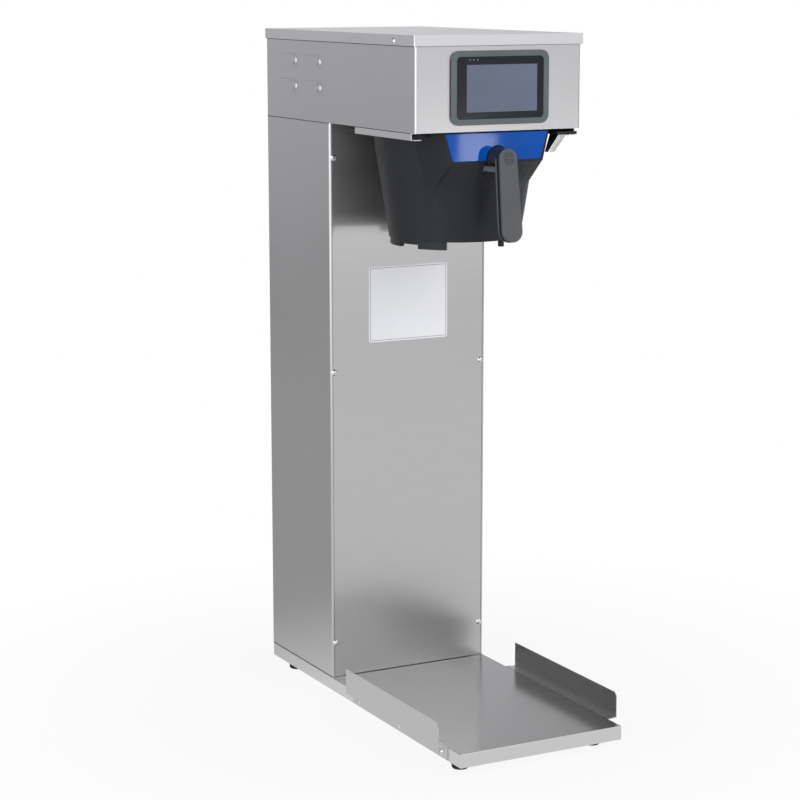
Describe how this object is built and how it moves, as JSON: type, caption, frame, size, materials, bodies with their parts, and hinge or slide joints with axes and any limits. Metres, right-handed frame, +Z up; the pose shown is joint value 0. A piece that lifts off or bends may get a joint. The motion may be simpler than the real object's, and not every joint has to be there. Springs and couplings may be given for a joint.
{
  "type": "iced tea maker",
  "caption": "Tall stainless countertop iced tea brewer: hood with touch panel, sliding black brew basket, slim column, and an open deck with side guides.",
  "frame": {"origin": "centre of the overall box at floor level, under the feet", "axes": "+X to the right of a user facing the machine, +Y to its rear, +Z up"},
  "size_m": [0.29, 0.625, 0.9955],
  "materials": {
    "steel": "fine brushed stainless steel, satin",
    "steel_deck": "brushed stainless steel, satin",
    "steel_inner": "plain mill-finish sheet",
    "steel_tank": "satin stainless steel",
    "dark_sheet": "satin dark paint",
    "screw_steel": "polished stainless screw heads",
    "rubber_black": "matt black rubber",
    "label_white": "blank white film",
    "bezel_grey": "fine-textured grey plastic",
    "glass_black": "gloss black touch glass with a dim display area",
    "display": "unlit display",
    "board_green": "solder mask",
    "basket_black": "moulded black plastic, satin",
    "insert_blue": "gloss blue plastic",
    "grip_grey": "fine-textured dark grey plastic",
    "grip_black": "satin black plastic",
    "tube": "silicone tube",
    "gasket_red": "silicone rubber",
    "wrap": "glass-fibre insulation",
    "brass": "machined brass",
    "heater": "metal-sheathed element",
    "valve_black": "moulded valve and coil body",
    "plunger": "ground steel",
    "supply": "folded aluminium case",
    "heat_sink": "black anodised fins",
    "ivory": "moulded insulator",
    "red": "red push button",
    "loom": "sleeved wire loom",
    "switch_black": "gloss black plastic",
    "liner": "bright steel wire"
  },
  "bodies": {
    "chassis": {"base_tray": "steel_deck", "bottom_plate": "steel_inner", "feet": "rubber_black", "guide_left": "steel", "guide_right": "steel", "guide_screws": "screw_steel", "column_shell": "steel", "column_panel": "steel", "panel_screws": "screw_steel", "label_plate": "label_white", "hood_shell": "steel", "hood_floor": "dark_sheet", "rear_panel": "steel", "screen_bezel": "bezel_grey", "screen_glass": "glass_black", "display_panel": "display", "control_board": "board_green", "rail_left": "steel", "rail_right": "steel", "rail_screws": "screw_steel", "spray_head": "steel_tank", "brew_tube": "tube", "dilution_tube": "tube", "dilution_feed": "tube", "tank": "steel_tank", "tank_gasket": "gasket_red", "tank_lid": "steel_tank", "tank_bolts": "screw_steel", "tank_wrap": "wrap", "tank_shelf": "steel_inner", "heating_element": "heater", "temperature_probe": "plunger", "limit_thermostat": "ivory", "brew_valve": "valve_black", "dilution_valve": "valve_black", "inlet_valve": "valve_black", "inlet_fitting": "brass", "fill_tube": "tube", "drain_tube": "tube", "component_panel": "steel_inner", "power_supply": "supply", "heater_relay": "heat_sink", "terminal_block": "ivory", "wire_harness": "loom", "power_switch": "switch_black", "cord_gland": "valve_black"},
    "cover": {"top_cover": "steel", "cover_screws": "screw_steel"},
    "basket": {"brew_basket": "basket_black", "basket_insert": "insert_blue", "handle_back": "grip_black", "handle_front": "grip_grey", "handle_screws": "screw_steel", "filter_liner": "liner", "basket_key": "steel"},
    "brew_plunger": {"brew_plunger": "plunger"},
    "dilution_plunger": {"dilution_plunger": "plunger"},
    "inlet_plunger": {"inlet_plunger": "plunger"},
    "reset_button": {"reset_button": "red"},
    "power_rocker": {"power_rocker": "switch_black"}
  },
  "joints": [
    {"name": "basket_slide", "type": "slide", "parent": "chassis", "child": "basket", "axis": [0, -1, 0], "range_m": [0, 0.25]},
    {"name": "cover_lift", "type": "slide", "parent": "chassis", "child": "cover", "axis": [0, 0, 1], "range_m": [0, 0.15]},
    {"name": "brew_plunger_stroke", "type": "slide", "parent": "chassis", "child": "brew_plunger", "axis": [0, 0, 1], "range_m": [0, 0.0025], "stiffness_N_per_m": 150},
    {"name": "dilution_plunger_stroke", "type": "slide", "parent": "chassis", "child": "dilution_plunger", "axis": [0, 0, 1], "range_m": [0, 0.0025], "stiffness_N_per_m": 150},
    {"name": "inlet_plunger_stroke", "type": "slide", "parent": "chassis", "child": "inlet_plunger", "axis": [0, 0, 1], "range_m": [0, 0.0025], "stiffness_N_per_m": 150},
    {"name": "reset_press", "type": "slide", "parent": "chassis", "child": "reset_button", "axis": [0, 0, -1], "range_m": [0, 0.0015], "stiffness_N_per_m": 400},
    {"name": "power_rocker_turn", "type": "hinge", "parent": "chassis", "child": "power_rocker", "pos_m": [0.07, 0.2885, 0.185], "axis": [-1, 0, 0], "range_deg": [0, 20]}
  ]
}
